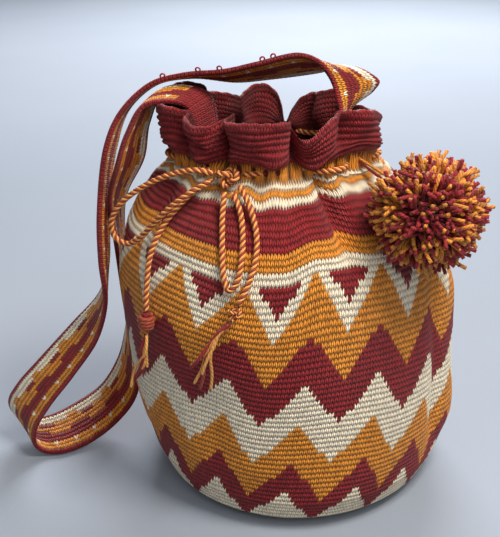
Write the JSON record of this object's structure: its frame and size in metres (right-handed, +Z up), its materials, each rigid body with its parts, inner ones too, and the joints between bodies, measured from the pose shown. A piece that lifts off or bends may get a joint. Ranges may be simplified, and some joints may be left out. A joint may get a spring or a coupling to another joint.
{
  "type": "crocheted drawstring bucket bag",
  "caption": "Crocheted bucket bag with a gathered mouth, a woven drawstring tied in a bow, a long patterned strap and a yarn pompom on a tie.",
  "frame": {"origin": "centre of the flat crocheted base, on the surface the bag stands on", "axes": "+Z up out of the mouth, -Y out of the side with the bow, +X towards the side with the pompom"},
  "size_m": [0.4192, 0.2797, 0.383],
  "materials": {
    "bag_yarn": "matte",
    "strap_yarn": "matte",
    "cord_yarn": "matte",
    "pompom_yarn": "matte"
  },
  "bodies": {
    "bag": {"bag_body": "bag_yarn", "shoulder_strap": "strap_yarn", "drawstring_neck_run": "cord_yarn", "bow_knot": "cord_yarn", "left_bow_loop": "cord_yarn", "right_bow_loop": "cord_yarn", "left_tail": "cord_yarn", "right_tail": "cord_yarn", "left_end_knot": "cord_yarn", "right_end_knot": "cord_yarn", "left_tassel": "cord_yarn", "right_tassel": "cord_yarn"},
    "pompom": {"pompom_ball": "pompom_yarn", "pompom_tie": "pompom_yarn"}
  },
  "joints": [
    {"name": "pompom_swing", "type": "hinge", "parent": "bag", "child": "pompom", "pos_m": [0.0515, -0.0405, 0.299], "axis": [-0.7273, -0.6863, 0], "range_deg": [0, 75]}
  ]
}
